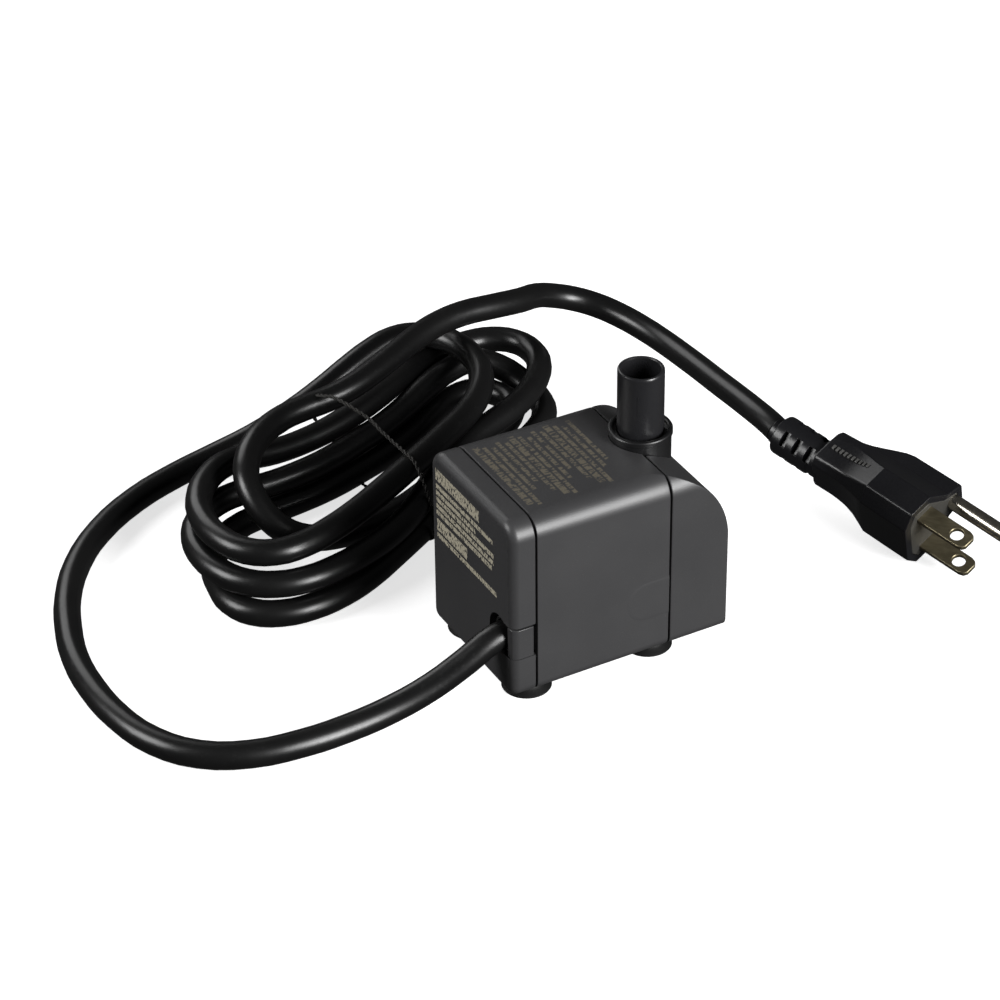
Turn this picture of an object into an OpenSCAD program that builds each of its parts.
// Small mains-powered fountain pump that works under water. A wet rotor turns on a
// fixed ceramic shaft inside a moulded can, the stator around the can is potted in
// epoxy, and the impeller pushes water up through a round outlet spout.
// +Z is up, +X is the intake end, -X is the cable end, and the floor is z = 0.

/* [Housing] */
// Length of the pump from rear face to front face
body_l = 68; // [56:1:84]
// Width of the pump
body_w = 46; // [44:1:58]
// Top of the flat roof above the floor
body_top = 58.5; // [56.5:0.5:72]
// Gap under the housing that the feet hold open
foot_h = 2.5; // [2:0.25:4]
// Radius of the two long roof edges
roof_r = 7; // [4:0.5:9]
// Radius of the two long bottom edges
base_r = 3.5; // [1:0.5:5]
// Radius of the curve that falls from the roof to the front face
front_r = 25; // [20:1:30]
// Wall thickness of the three housing pieces
wall = 2.2; // [1.8:0.1:2.6]
// Length of the rear cover, up to the rear seam
rear_l = 7.6; // [7:0.1:12]
// Length of the front cover, from the front seam
front_l = 18.5; // [17:0.5:22]
// Width of the open line at each seam
seam = 0.5; // [0.3:0.1:0.8]

/* [Motor] */
// Height of the shaft above the floor
shaft_z = 33; // [31:0.5:36]
// Diameter of the ceramic shaft
shaft_d = 2.5; // [2:0.1:3]
// Diameter of the rotor magnet
magnet_d = 14.6; // [12:0.1:15]
// Length of the rotor magnet
magnet_l = 20; // [14:0.5:20]
// Wall of the can that keeps the stator dry
can_wall = 1.2; // [1:0.1:1.4]
// Thickness of the laminated stack along the shaft
stack_l = 14; // [10:0.5:15]
// Width of each stator leg
leg_w = 7; // [5:0.5:7]
// Thickness of copper on each side of a leg
copper_t = 3.6; // [2:0.1:3.8]

/* [Pump head] */
// Outer radius of the impeller chamber
volute_r = 16.5; // [15.5:0.1:17]
// Inner radius of the impeller chamber
chamber_r = 14; // [13:0.1:14]
// Diameter of the impeller
impeller_d = 25; // [18:0.5:25]
// Number of impeller blades
blade_count = 6; // [4:1:8]
// Radius of the water inlet in the chamber cover
eye_r = 6.5; // [5.5:0.1:7]
// Turn that locks the chamber cover, in degrees
lock_turn = 20; // [10:1:25]

/* [Outlet] */
// Place of the outlet spout along the length, from the middle
spout_x = 19.2; // [18:0.2:20]
// Outer diameter of the spout
spout_d = 13; // [12:0.1:13.4]
// Wall of the spout above its socket
spout_wall = 1.15; // [1:0.05:1.4]
// Top of the spout above the floor
spout_top = 80; // [76:0.5:90]
// Depth that the spout goes into its socket
socket_depth = 11; // [9:0.5:12]
// Outer diameter of the collar round the spout
collar_d = 17.9; // [17.6:0.1:18.4]
// Top of the collar above the roof
collar_rise = 2.8; // [2.4:0.1:4]

/* [Intake] */
// Number of grille slots on each side of the slider slot
slot_pairs = 4; // [2:1:4]
// Width of a grille slot
slot_w = 1.8; // [1.4:0.1:2]
// Height of the grille slots
slot_h = 14; // [10:1:15]

/* [Feet] */
// Diameter of a foot
foot_d = 14; // [10:0.5:14]
// Distance of the feet from the middle line
foot_y = 15.5; // [13:0.5:15.5]

/* [Cord] */
// Diameter of the cord
cord_d = 7.8; // [7:0.1:8.2]
// Height of the bundled cord
hank_h = 36; // [30:1:40]

/* [Hidden] */
$fn = 48;
eps = 0.01;

// Clearances: fit for pieces that slide together, run for turning ones.
fit = 0.2;
run = 0.05;

// Places along the length.
x_rear = -body_l / 2;
x_front = body_l / 2;
seam_rear = x_rear + rear_l;
seam_front = x_front - front_l;
bulk_t = 2.2;
bulk_front = seam_front - 5.3;
bulk_rear = bulk_front - bulk_t;
lip_l = 1.8;
lip_t = 1.2;

// Motor places.
can_r = magnet_d / 2 + 0.7;
can_out = can_r + can_wall;
magnet_x0 = bulk_rear - 2 - magnet_l;
can_end = magnet_x0 - 2.4;
can_close = 1.4;
stack_x = magnet_x0 + magnet_l / 2 - 2;
pole_r = can_out + 0.25;
pole_out = pole_r + 4.6;
leg_y = 12;
yoke_z = foot_h + wall + 0.3;
yoke_h = 4.5;
coil_z0 = yoke_z + yoke_h + 0.3;
coil_z1 = shaft_z - pole_out - 0.3;
coil_wall = 0.8;
coil_half_y = leg_w / 2 + fit + coil_wall + copper_t;
coil_half_x = stack_l / 2 + fit + coil_wall + copper_t;
potting_x0 = can_end - can_close - 2.6;

// Pump head places.
volute_x = bulk_front;
back_t = 3.2;
chamber_x = volute_x + back_t;
chamber_l = 8.8;
cover_x = chamber_x + chamber_l;
cover_t = 2;
rim_t = 2.8;
hub_r = 3.2;
bush_r = 2.4;
disc_x = chamber_x + 0.5;
disc_t = 1.2;
blade_l = 6;
sleeve_r = 3;
lug_deg = 14;

// Outlet places.
neck_r = collar_d / 2 - 0.35;
collar_z = body_top + collar_rise;
socket_r = spout_d / 2 - 0.02;
socket_z = collar_z - socket_depth;
throat_r = 4.6;
spout_bore = spout_d / 2 - spout_wall;

// Cable entry: a round hole that opens into a slot in the side wall.
cable_y = -15.5;
cable_z = 19.6;
grommet_r = cord_d / 2 + 1.1;
slot_z0 = cable_z - 4.4;
slot_z1 = cable_z + 6;
cord_in = seam_rear - 1.6;

// Intake places.
slot_pitch = 3.6;
slot_z = foot_h + 4;
gate_h = slot_h + 1.2;
gate_t = 1.5;
gate_w = 2 * (slot_pairs * slot_pitch + slot_w) + 2;
gate_x = x_front - wall - 0.4 - gate_t;
gate_z = slot_z + slot_h + 0.6;
tab_w = 2.6;
tab_z = gate_z + 0.6;
tab_h = 3;

// Latch tongues of the front cover run in channels under a raised pad.
latch_z = 20.5;
latch_h = 9;
latch_l = 4.2;
pad_l = 13.5;
pad_h = 12.5;
pad_rise = 0.35;

// Where the feet stand.
foot_rear_x = -25.5;
foot_front_x = 13;

// Cord routes, in order from the pump to the bundle and from the bundle to the plug.
lead_route = [
    [-28, -15.5, 19.6], [-35, -15.5, 19.2], [-44, -15.4, 14.6], [-54, -14.6, 9.4],
    [-66, -13.8, 5.6], [-80, -13.6, 4], [-93, -13.4, 4], [-107, -10.8, 4], [-119, -4, 4],
    [-127, 7, 4], [-131, 21, 4], [-132, 37, 4], [-130.5, 52, 4], [-126.5, 66, 4],
    [-121, 79, 4], [-112, 93, 4], [-100, 105, 4], [-84, 114.5, 4], [-66, 121, 4],
    [-48, 125.5, 4], [-32, 127.5, 4]];
tail_route = [
    [52.9, 126.1, 25.6], [55.6, 127.5, 25.3], [59.6, 129.1, 23.9], [64.8, 130, 21.7], [70.8, 129.3, 19.3],
    [76.5, 126.4, 17.4], [81.5, 120.4, 15.8], [85.2, 113, 14.8], [87.2, 104.6, 14.2],
    [88, 95.5, 14.2], [88, 86, 15], [87.4, 75.5, 16.4], [86.5, 63.5, 18.1],
    [85.8, 52, 19.7], [85.5, 42, 20.6], [85.5, 36, 20.7], [85.65, 31.5, 20.3]];

// The bundle is a long loop with round ends, laid flat.
hank_a = [-50, 72];
hank_b = [20, 110];
hank_r = 36;
hank_z = 0.3;
tie_x = -22;
tie_w = 1.6;
tie_t = 1.2;

// The plug lies on one edge of its face with its blades stacked one above the other.
plug_pos = [101.5, -22, 12.45];
plug_turn = [19, 8, -73.4];
plug_l = 56;
relief_r = 6.8;
relief_l = 17;
block_l = 17;
blade_gap = 12.7;
blade_w = 6.35;
blade_t = 1.5;
blade_out = 16.5;
blade_hole_d = 4;
blade_hole_x = 11.9;
earth_y = 11.9;
earth_d = 4.76;
earth_out = 21.4;
bridge_t = 2;

function unit(v) = v / norm(v);
function spline(a, b, c, d, t) = 0.5 * (2 * b + (c - a) * t
    + (2 * a - 5 * b + 4 * c - d) * t * t + (3 * b - a - 3 * c + d) * t * t * t);
function refine(p, n) = [for (i = [0 : len(p) - 2], k = [0 : n - 1])
    spline(p[max(i - 1, 0)], p[i], p[i + 1], p[min(i + 2, len(p) - 1)], k / n), p[len(p) - 1]];
function heading(p, i) = unit(p[min(i + 1, len(p) - 1)] - p[max(i - 1, 0)]);
function ring(c, h, r, sides) = let (
        side = unit(cross(h, [0, 0, 1])),
        up = cross(side, h)
    ) [for (k = [0 : sides - 1]) c + r * (cos(360 * k / sides) * side + sin(360 * k / sides) * up)];

// Closed tube of radius r along the points p.
module tube(p, r, sides = 12) {
    last = (len(p) - 1) * sides;
    pts = [for (i = [0 : len(p) - 1]) each ring(p[i], heading(p, i), r, sides)];
    walls = [for (i = [0 : len(p) - 2], k = [0 : sides - 1]) let (
            a = i * sides + k,
            b = i * sides + (k + 1) % sides
        ) each [[a, b, b + sides], [a, b + sides, a + sides]]];
    ends = [[for (k = [sides - 1 : -1 : 0]) k], [for (k = [0 : sides - 1]) last + k]];
    polyhedron(pts, concat(walls, ends));
}

// A 2D shape in Y and Z pushed from x0 to x1.
module along_x(x0, x1) {
    translate([x0, 0, 0]) rotate([90, 0, 90]) linear_extrude(x1 - x0) children();
}

// A cylinder along +X on the line through y and z.
module rod_x(x0, x1, r, y = 0, z = 0) {
    translate([x0, y, z]) rotate([0, 90, 0]) cylinder(h = x1 - x0, r = r);
}

module box(x0, x1, y0, y1, z0, z1) {
    translate([x0, y0, z0]) cube([x1 - x0, y1 - y0, z1 - z0]);
}

// Cross-section of the housing, drawn smaller all round by inset.
module section(inset) {
    w = body_w / 2 - inset;
    z0 = foot_h + inset;
    z1 = body_top - inset;
    rt = max(roof_r - inset, 0.6);
    rb = max(base_r - inset, 0.6);
    translate([-w, z0 + rb]) square([2 * w, z1 - rt - z0 - rb]);
    translate([-w + rb, z0]) square([2 * (w - rb), rb + eps]);
    translate([-w + rt, z1 - rt - eps]) square([2 * (w - rt), rt + eps]);
    for (s = [-1, 1]) {
        translate([s * (w - rb), z0 + rb]) circle(rb);
        translate([s * (w - rt), z1 - rt]) circle(rt);
    }
}

// Side view of the housing, with the curve that falls to the front face.
module side_view(inset) {
    r = front_r - inset;
    c = [x_front - front_r, body_top - front_r];
    translate([x_rear - 1, foot_h]) square([c[0] - x_rear + 1, body_top - foot_h]);
    translate([c[0] - 1, foot_h]) square([r + 1, c[1] - foot_h]);
    translate(c) circle(r, $fn = 96);
}

// Solid outer form of the housing between x0 and x1.
module form(x0, x1, inset = 0) {
    intersection() {
        along_x(x0, x1) section(inset);
        translate([0, body_w, 0]) rotate([90, 0, 0]) linear_extrude(2 * body_w) side_view(inset);
    }
}

// Stub that a piece pushes into its neighbour at a seam.
module lip(x0, x1) {
    difference() {
        form(x0, x1, wall + fit);
        form(x0 - 1, x1 + 1, wall + fit + lip_t);
    }
}

// Sector of a disc about the shaft line, from angle a0 to a1.
module sector_x(x0, x1, r0, r1, a0, a1) {
    far = 2 * r1;
    mid = (a0 + a1) / 2;
    intersection() {
        difference() {
            rod_x(x0, x1, r1, 0, shaft_z);
            rod_x(x0 - 1, x1 + 1, r0, 0, shaft_z);
        }
        translate([0, 0, shaft_z]) along_x(x0 - 1, x1 + 1)
            polygon([[0, 0], far * [cos(a0), sin(a0)], 1.2 * far * [cos(mid), sin(mid)],
                far * [cos(a1), sin(a1)]]);
    }
}

// Upright cylinder of radius r on the spout line.
module on_spout(r, z0, z1) {
    translate([spout_x, 0, z0]) cylinder(h = z1 - z0, r = r);
}

module motor_housing() color("#2b2b2e") {
    x0 = seam_rear + seam / 2;
    x1 = seam_front - seam / 2;
    difference() {
        union() {
            difference() {
                form(x0, x1);
                form(x0 - 1, bulk_rear, wall);
                form(bulk_front, x1 + 1, wall);
            }
            for (s = [-1, 1]) latch_pad(s);
            rod_x(can_end - can_close, bulk_rear + 1, can_out, 0, shaft_z);
        }
        rod_x(can_end, bulk_front + 1, can_r, 0, shaft_z);
        on_spout(neck_r + fit, shaft_z + volute_r, body_top + 1);
        for (s = [-1, 1]) latch_channel(s);
    }
    difference() {
        rod_x(can_end - eps, can_end + 1.6, bush_r + 1.2, 0, shaft_z);
        rod_x(can_end, can_end + 2, bush_r, 0, shaft_z);
    }
}

// Raised pad on the side of the housing, level with the latch channel behind it.
module latch_pad(s) {
    y0 = s > 0 ? body_w / 2 - 0.5 : -body_w / 2 - pad_rise;
    x1 = seam_front - seam / 2;
    translate([0, y0 + 0.5 + pad_rise, 0]) rotate([90, 0, 0]) linear_extrude(0.5 + pad_rise) {
        translate([x1 - pad_l + pad_h / 2, latch_z - pad_h / 2])
            square([pad_l - pad_h / 2, pad_h]);
        translate([x1 - pad_l + pad_h / 2, latch_z]) circle(pad_h / 2);
    }
}

module latch_channel(s) {
    y0 = s > 0 ? body_w / 2 - wall - eps : -body_w / 2 + wall - 0.6;
    box(bulk_front, seam_front + 1, y0, y0 + 0.6 + eps, latch_z - latch_h / 2 - fit,
        latch_z + latch_h / 2 + fit);
}

module rear_cover() color("#303036") {
    difference() {
        union() {
            difference() {
                form(x_rear, seam_rear - seam / 2);
                form(x_rear + wall, seam_rear + 1, wall);
            }
            lip(seam_rear - seam / 2 - 1.5, seam_rear + lip_l);
            difference() {
                form(seam_rear - seam / 2 - 1.5, seam_rear - seam / 2, wall - eps);
                form(seam_rear - 4, seam_rear + 1, wall + fit + lip_t);
            }
        }
        rod_x(x_rear - 1, x_rear + wall + 1, grommet_r + 0.2, cable_y, cable_z);
        box(x_rear - 1, x_rear + wall + 1, -body_w / 2 - 1, cable_y, slot_z0, slot_z1);
        box(x_rear - 1, seam_rear + 3, -body_w / 2 - 1, cable_y - 4, slot_z0, slot_z1);
    }
}

// Key that slides into the side of the rear cover and grips the cord.
module cable_clamp() color("#2b2b2e") {
    x0 = x_rear + 0.4;
    x1 = seam_rear - seam - 0.4;
    z1 = slot_z1 - 0.9;
    difference() {
        box(x0, x1, -body_w / 2, cable_y - grommet_r - 0.05, slot_z0 + 0.1, z1);
        translate([0, -body_w / 2, 0]) rotate([0, 0, 0])
            box(x0 - 1, x1 + 1, 1.2, 4, z1 - 1.6, z1 + 1);
    }
}

module cable_grommet() color("#151515") {
    difference() {
        rod_x(x_rear + 0.5, x_rear + wall + 1.6, grommet_r, cable_y, cable_z);
        rod_x(x_rear - 1, x_rear + wall + 3, cord_d / 2 + 0.35, cable_y, cable_z);
    }
}

module front_cover() color("#2b2b2e") {
    x0 = seam_front + seam / 2;
    difference() {
        union() {
            difference() {
                form(x0, x_front);
                form(x0 - 1, x_front - wall, wall);
            }
            lip(seam_front - lip_l, x0 + 1.5);
            difference() {
                form(x0, x0 + 1.5, wall - eps);
                form(x0 - 1, x0 + 4, wall + fit + lip_t);
            }
            for (s = [-1, 1]) latch_tongue(s);
            for (s = [-1, 1]) gate_guide(s);
        }
        on_spout(neck_r + fit, shaft_z + 8, body_top + 1);
        box(x0 - 4, spout_x, -neck_r - fit, neck_r + fit, shaft_z + volute_r, body_top + 1);
        for (k = [-slot_pairs : slot_pairs]) grille_slot(k);
    }
}

module latch_tongue(s) {
    y0 = s > 0 ? body_w / 2 - wall - fit - 1.4 : -body_w / 2 + wall - 0.6 + fit;
    box(seam_front - latch_l, seam_front + seam + 2, y0, y0 + 1.4 + 0.6,
        latch_z - latch_h / 2, latch_z + latch_h / 2);
}

// The middle slot is wider and taller, because the regulator's tab moves in it.
module grille_slot(k) {
    w = k == 0 ? tab_w + 2 * fit : slot_w;
    h = k == 0 ? gate_z - slot_z + tab_h + 2 : slot_h;
    r = w / 2;
    y = k * slot_pitch + sign(k) * 0.6;
    box(x_front - wall - 1, x_front + 1, y - r, y + r, slot_z + r, slot_z + h - r);
    rod_x(x_front - wall - 1, x_front + 1, r, y, slot_z + r);
    rod_x(x_front - wall - 1, x_front + 1, r, y, slot_z + h - r);
}

// Rail behind the front face that holds one edge of the regulator.
module gate_guide(s) {
    y0 = gate_w / 2 - 1.2;
    rail = 1.4;
    z1 = gate_z + gate_h;
    mirror([0, s > 0 ? 0 : 1, 0]) {
        box(gate_x - fit - rail, gate_x - fit, y0, y0 + 1.2 + fit + rail, slot_z - 1, z1);
        box(gate_x - fit - rail, x_front - wall + eps, y0 + 1.2 + fit,
            y0 + 1.2 + fit + rail, slot_z - 1, z1);
    }
}

module flow_regulator() color("#3a3a3e") {
    box(gate_x, gate_x + gate_t, -gate_w / 2, gate_w / 2, gate_z, gate_z + gate_h);
    box(gate_x + gate_t - eps, x_front - 0.4, -tab_w / 2, tab_w / 2, tab_z, tab_z + tab_h);
}

module volute() color("#26262a") {
    rim_x = cover_x + rim_t;
    difference() {
        union() {
            rod_x(volute_x, rim_x, volute_r, 0, shaft_z);
            on_spout(neck_r, shaft_z + 8, collar_z - 1.8);
            on_spout(collar_d / 2, collar_z - 1.8, collar_z - 0.5);
            translate([spout_x, 0, collar_z - 0.5])
                cylinder(h = 0.5, r1 = collar_d / 2, r2 = collar_d / 2 - 0.5);
        }
        rod_x(volute_x - 1, chamber_x + 1, can_r + 0.3, 0, shaft_z);
        rod_x(chamber_x, cover_x + eps, chamber_r, 0, shaft_z);
        rod_x(cover_x, rim_x + 1, chamber_r + 1.4, 0, shaft_z);
        for (a = [0, 180]) sector_x(cover_x, cover_x + cover_t + 0.2, chamber_r, volute_r - 0.3,
            a - lug_deg / 2 - 1, a + lug_deg / 2 + lock_turn + 1);
        for (a = [0, 180]) sector_x(cover_x, rim_x + 1, chamber_r, volute_r - 0.3,
            a + lug_deg / 2 + lock_turn - lug_deg - 1, a + lug_deg / 2 + lock_turn + 1);
        on_spout(throat_r, shaft_z + 8, socket_z + 1);
        on_spout(socket_r, socket_z, collar_z + 1);
        translate([spout_x, 0, collar_z - 0.8])
            cylinder(h = 0.8 + eps, r1 = socket_r, r2 = socket_r + 0.7);
        seal_groove();
    }
}

module seal_groove() {
    difference() {
        rod_x(volute_x - 1, volute_x + 1.9, can_r + 3.9, 0, shaft_z);
        rod_x(volute_x - 2, volute_x + 2, can_r + 1.9, 0, shaft_z);
    }
}

// O-ring with its axis along +X.
module oring_x(x, r, t) {
    translate([x, 0, shaft_z]) rotate([0, 90, 0]) rotate_extrude() translate([r, 0]) circle(t);
}

module volute_seal() color("#101010") {
    oring_x(volute_x + 0.92, can_r + 2.9, 0.9);
}

// Inlet cover of the chamber: three spokes carry the front bush of the shaft.
module volute_cover() color("#333338") {
    difference() {
        union() {
            difference() {
                rod_x(cover_x + 0.1, cover_x + cover_t, chamber_r + 1.2, 0, shaft_z);
                rod_x(cover_x - 1, cover_x + cover_t + 1, eye_r, 0, shaft_z);
            }
            for (a = [0, 180]) sector_x(cover_x + 0.1, cover_x + cover_t - 0.1, chamber_r,
                volute_r - 0.6, a - lug_deg / 2, a + lug_deg / 2);
            rod_x(cover_x + 0.1, cover_x + cover_t + 1, hub_r + 0.6, 0, shaft_z);
            for (a = [90, 210, 330]) translate([cover_x + 0.1, 0, shaft_z]) rotate([a, 0, 0])
                translate([0, 0, -0.8]) cube([cover_t - 0.2, eye_r + 0.5, 1.6]);
            for (a = [45, 225]) translate([cover_x + cover_t - eps, 0, shaft_z]) rotate([a, 0, 0])
                translate([0, eye_r + 1.5, -0.9]) cube([1.6, 5, 1.8]);
        }
        rod_x(cover_x - 1, cover_x + cover_t + 2, bush_r, 0, shaft_z);
    }
}

module bush(x0, x1, bore_from) {
    difference() {
        rod_x(x0, x1, bush_r - 0.02, 0, shaft_z);
        rod_x(bore_from, x1 + 1, shaft_d / 2 + run, 0, shaft_z);
    }
}

module front_bush() color("#1a1a1a") {
    bush(cover_x + 0.1, cover_x + cover_t + 0.8, cover_x - 1);
}

module rear_bush() color("#1a1a1a") {
    bush(can_end + 0.02, can_end + 1.6, can_end + 0.4);
}

module shaft() color("#e8e6df") {
    rod_x(can_end + 0.45, cover_x + cover_t + 0.6, shaft_d / 2, 0, shaft_z);
}

module rotor_magnet() color("#3b3b40") {
    difference() {
        rod_x(magnet_x0, magnet_x0 + magnet_l, magnet_d / 2, 0, shaft_z);
        rod_x(magnet_x0 - 1, magnet_x0 + magnet_l + 1, sleeve_r + 0.02, 0, shaft_z);
    }
}

// Impeller with the long sleeve that carries the magnet.
module impeller() color("#d9d8d2") {
    hub_x = disc_x + disc_t + blade_l;
    difference() {
        union() {
            rod_x(magnet_x0 - 0.3, disc_x + 0.5, sleeve_r, 0, shaft_z);
            rod_x(magnet_x0 + magnet_l + 0.02, disc_x + eps, sleeve_r + 2, 0, shaft_z);
            rod_x(disc_x, disc_x + disc_t, impeller_d / 2, 0, shaft_z);
            rod_x(disc_x, hub_x, 3.8, 0, shaft_z);
            for (k = [0 : blade_count - 1]) translate([disc_x, 0, shaft_z])
                rotate([360 * k / blade_count, 0, 0]) translate([0, 2, -0.6])
                cube([disc_t + blade_l, impeller_d / 2 - 2.2, 1.2]);
        }
        rod_x(magnet_x0 - 2, hub_x + 1, shaft_d / 2 + run, 0, shaft_z);
    }
}

module outlet_spout() color("#2f2f33") {
    z0 = socket_z + 0.2;
    difference() {
        union() {
            on_spout(spout_d / 2 - 0.2, z0, collar_z + 1);
            on_spout(spout_d / 2, collar_z + 0.4, spout_top - 0.6);
            translate([spout_x, 0, spout_top - 0.6])
                cylinder(h = 0.6, r1 = spout_d / 2, r2 = spout_d / 2 - 0.5);
        }
        on_spout(spout_bore, collar_z, spout_top + 1);
        on_spout(throat_r - 0.3, z0 - 1, collar_z + 1);
        difference() {
            on_spout(spout_d, z0 + 2.6, z0 + 4.4);
            on_spout(spout_d / 2 - 1.3, z0, z0 + 6);
        }
    }
}

module spout_seal() color("#101010") {
    r = 0.6;
    translate([spout_x, 0, socket_z + 3.7])
        rotate_extrude() translate([spout_d / 2 - 0.07 - r, 0]) circle(r);
}

module stator_core() color("#8d8f93") {
    x0 = stack_x - stack_l / 2;
    along_x(x0, x0 + stack_l) difference() {
        union() {
            translate([0, shaft_z]) difference() {
                circle(pole_out);
                translate([-2, -pole_out - 1]) square([4, 2 * pole_out + 2]);
            }
            for (s = [-1, 1]) translate([s * leg_y - leg_w / 2, yoke_z])
                square([leg_w, shaft_z - yoke_z]);
            translate([-leg_y - leg_w / 2, yoke_z]) square([2 * leg_y + leg_w, yoke_h]);
        }
        translate([0, shaft_z]) circle(pole_r);
    }
}

// Box about one stator leg that reaches out by dx and dy from the middle of the leg.
module leg_box(s, dx, dy, z0, z1) {
    box(stack_x - dx, stack_x + dx, s * leg_y - dy, s * leg_y + dy, z0, z1);
}

module bobbin(s) color("#e9e4d4") {
    in_x = stack_l / 2 + fit;
    in_y = leg_w / 2 + fit;
    difference() {
        union() {
            leg_box(s, in_x + coil_wall, in_y + coil_wall, coil_z0, coil_z1);
            leg_box(s, coil_half_x, coil_half_y, coil_z0, coil_z0 + coil_wall);
            leg_box(s, coil_half_x, coil_half_y, coil_z1 - coil_wall, coil_z1);
        }
        leg_box(s, in_x, in_y, coil_z0 - 1, coil_z1 + 1);
    }
}

module winding(s) color("#b5622c") {
    core_x = stack_l / 2 + fit + coil_wall + 0.05;
    core_y = leg_w / 2 + fit + coil_wall + 0.05;
    difference() {
        leg_box(s, coil_half_x - 0.1, coil_half_y - 0.1, coil_z0 + coil_wall + 0.05,
            coil_z1 - coil_wall - 0.05);
        leg_box(s, core_x, core_y, coil_z0, coil_z1);
    }
}

// Epoxy block that fills the housing round the stator.
module potting() color("#1d1b18") {
    gap = 0.15;
    difference() {
        form(potting_x0, bulk_rear - gap, wall + gap);
        rod_x(can_end - can_close - gap, bulk_rear + 1, can_out + gap, 0, shaft_z);
        rod_x(stack_x - stack_l / 2 - gap, stack_x + stack_l / 2 + gap, pole_out + gap, 0,
            shaft_z);
        for (s = [-1, 1]) {
            leg_box(s, stack_l / 2 + gap, leg_w / 2 + gap, yoke_z - gap, shaft_z);
            leg_box(s, coil_half_x + gap, coil_half_y + gap, coil_z0 - gap, coil_z1 + gap);
        }
        box(stack_x - stack_l / 2 - gap, stack_x + stack_l / 2 + gap,
            -leg_y - leg_w / 2 - gap, leg_y + leg_w / 2 + gap, yoke_z - gap,
            yoke_z + yoke_h + gap);
    }
}

// Insulated wire from the end of the cord to the back of the potting.
module wire(y0, z0, y1, z1) {
    x0 = cord_in + 1;
    x1 = potting_x0 - 0.9;
    tube(refine([[x0, y0, z0], [(x0 + x1) / 2, (y0 + y1) / 2, (z0 + z1) / 2], [x1, y1, z1]], 3),
        1.1, 8);
}

module wire_line() color("#1a1a1a") wire(cable_y + 1.9, cable_z + 1.2, -4, cable_z + 9);
module wire_neutral() color("#e8e8e8") wire(cable_y + 1.9, cable_z - 1.4, 2, cable_z - 6);
module wire_earth() color("#3f8f3a") wire(cable_y - 1.2, cable_z + 1.4, -12, cable_z + 14);

// Rubber suction foot under the floor of the housing.
module foot(x, s) color("#111111") {
    translate([x, s * foot_y, 0]) {
        cylinder(h = 0.8, r = foot_d / 2);
        translate([0, 0, 0.8]) cylinder(h = foot_h - 0.8, r1 = foot_d / 2, r2 = foot_d / 2 - 2.6);
    }
}

module cord_lead() color("#0f0f10") tube(refine(lead_route, 2), cord_d / 2);
module cord_tail() color("#0f0f10") tube(refine(tail_route, 2), cord_d / 2);

// Outline of the bundle: a long shape with round ends.
module hank_outline(r) {
    run_l = norm(hank_b - hank_a);
    turn = atan2(hank_b[1] - hank_a[1], hank_b[0] - hank_a[0]);
    translate(hank_a) rotate(turn) {
        circle(r, $fn = 64);
        translate([run_l, 0]) circle(r, $fn = 64);
        translate([0, -r]) square([run_l, 2 * r]);
    }
}

module tie_slab(w) {
    translate([tie_x - w / 2, hank_a[1] - 2 * hank_r]) square([w, 5 * hank_r]);
}

module cord_hank() color("#0f0f10") {
    difference() {
        translate([0, 0, hank_z]) linear_extrude(hank_h - hank_z) hank_outline(hank_r);
        difference() {
            translate([0, 0, -1]) linear_extrude(hank_h + 2) tie_slab(tie_w + 0.2);
            translate([0, 0, tie_t + 0.1]) linear_extrude(hank_h - 2 * tie_t - 0.2)
                hank_outline(hank_r - tie_t - 0.1);
        }
    }
}

// Twisted tie that holds the bundle.
module hank_tie() color("#141414") {
    difference() {
        translate([0, 0, 0.05]) linear_extrude(hank_h - 0.05) intersection() {
            hank_outline(hank_r);
            tie_slab(tie_w);
        }
        translate([0, 0, tie_t]) linear_extrude(hank_h - 2 * tie_t)
            hank_outline(hank_r - tie_t);
    }
}

// Places a piece in the plug's own frame: +X out of the face, +Y towards the ground pin.
module on_plug() {
    translate(plug_pos) rotate(plug_turn) children();
}

// Outline of the plug's face, in Y and Z.
module face_outline(grow) {
    half = 11.5 + grow;
    side = 8.5 + grow;
    lobe = 17.5 + grow;
    polygon([[-side, 7], [-side + 3.5, half], [3, half], [11, 6.6 + grow], [lobe, 3.4],
        [lobe, -3.4], [11, -6.6 - grow], [3, -half], [-side + 3.5, -half], [-side, -7]]);
}

module plug_body() color("#19191b") on_plug() {
    neck_x = -plug_l + relief_l;
    difference() {
        union() {
            along_x(-block_l, 0) face_outline(0);
            hull() {
                along_x(-block_l - 0.5, -block_l + 0.5) face_outline(0);
                along_x(neck_x, neck_x + 1) translate([-6.8, -6.8]) square([18, 13.6]);
            }
            rod_x(-plug_l, neck_x + 6, relief_r);
        }
        for (k = [0 : 2]) for (s = [-1, 1])
            box(-plug_l + 3.6 + 4.6 * k, -plug_l + 5.4 + 4.6 * k, -4.5, 4.5,
                s > 0 ? relief_r - 1.6 : -relief_r - 1, s > 0 ? relief_r + 1 : -relief_r + 1.6);
        rod_x(-plug_l - 1, -plug_l + 1, cord_d / 2 + 0.1);
        along_x(-bridge_t - 0.05, 1) face_outline(-2);
        for (s = [-1, 1]) box(-blade_out, 1, -blade_w / 2 - 0.02, blade_w / 2 + 0.02,
            s * blade_gap / 2 - blade_t / 2 - 0.02, s * blade_gap / 2 + blade_t / 2 + 0.02);
        rod_x(-blade_out, 1, earth_d / 2 + 0.02, earth_y);
    }
}

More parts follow.
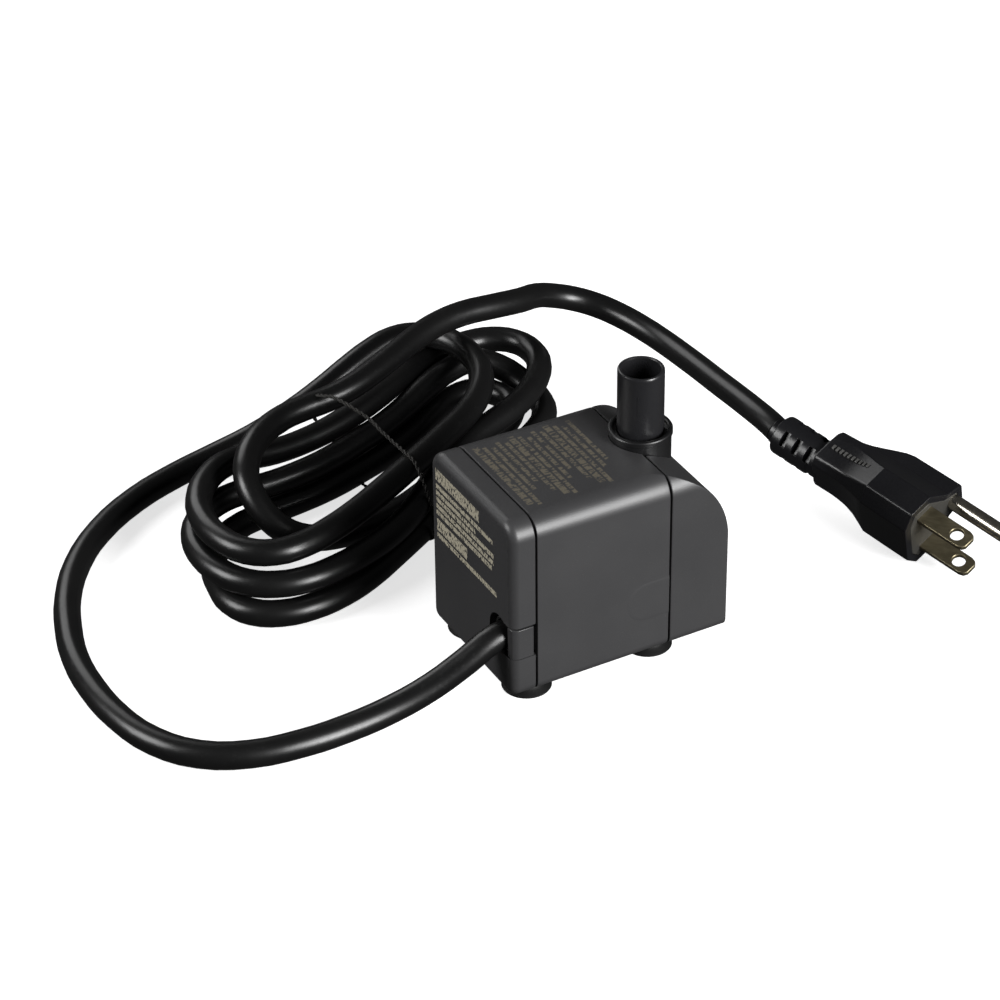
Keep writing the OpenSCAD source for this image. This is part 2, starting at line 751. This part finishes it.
// Hard insert in the face that holds the blades apart.
module plug_bridge() color("#5a5747") on_plug() {
    difference() {
        along_x(-bridge_t, 0) face_outline(-2.1);
        for (s = [-1, 1]) box(-5, 1, -blade_w / 2 - 0.02, blade_w / 2 + 0.02,
            s * blade_gap / 2 - blade_t / 2 - 0.02, s * blade_gap / 2 + blade_t / 2 + 0.02);
        rod_x(-5, 1, earth_d / 2 + 0.02, earth_y);
    }
}

module blade(s) color("#8a7f63") on_plug() {
    z = s * blade_gap / 2;
    tip = 1.2;
    half = blade_w / 2;
    difference() {
        translate([0, 0, z - blade_t / 2]) linear_extrude(blade_t)
            polygon([[-12, -half], [blade_out - tip, -half], [blade_out, -half + tip],
                [blade_out, half - tip], [blade_out - tip, half], [-12, half]]);
        translate([blade_hole_x, 0, z - blade_t]) cylinder(h = 2 * blade_t, d = blade_hole_d);
    }
}

module ground_pin() color("#d8cfae") on_plug() {
    rod_x(-12, 1, earth_d / 2 - 0.1, earth_y);
    translate([0.3, earth_y, 0]) rotate([0, 90, 0])
        cylinder(h = 0.9, r1 = earth_d / 2 - 0.1, r2 = earth_d / 2);
    rod_x(1.2, earth_out - 2, earth_d / 2, earth_y);
    translate([earth_out - 2, earth_y, 0]) rotate([0, 90, 0])
        cylinder(h = 2, r1 = earth_d / 2, r2 = 1.2);
}

motor_housing();
rear_cover();
cable_clamp();
cable_grommet();
front_cover();
flow_regulator();
volute();
volute_seal();
volute_cover();
front_bush();
rear_bush();
shaft();
rotor_magnet();
impeller();
outlet_spout();
spout_seal();
stator_core();
bobbin(1);  // bobbin_left
bobbin(-1);  // bobbin_right
winding(1);  // winding_left
winding(-1);  // winding_right
potting();
wire_line();
wire_neutral();
wire_earth();
foot(foot_rear_x, 1);  // foot_rear_left
foot(foot_rear_x, -1);  // foot_rear_right
foot(foot_front_x, 1);  // foot_front_left
foot(foot_front_x, -1);  // foot_front_right
cord_lead();
cord_hank();
cord_tail();
hank_tie();
plug_body();
plug_bridge();
blade(1);  // blade_line
blade(-1);  // blade_neutral
ground_pin();
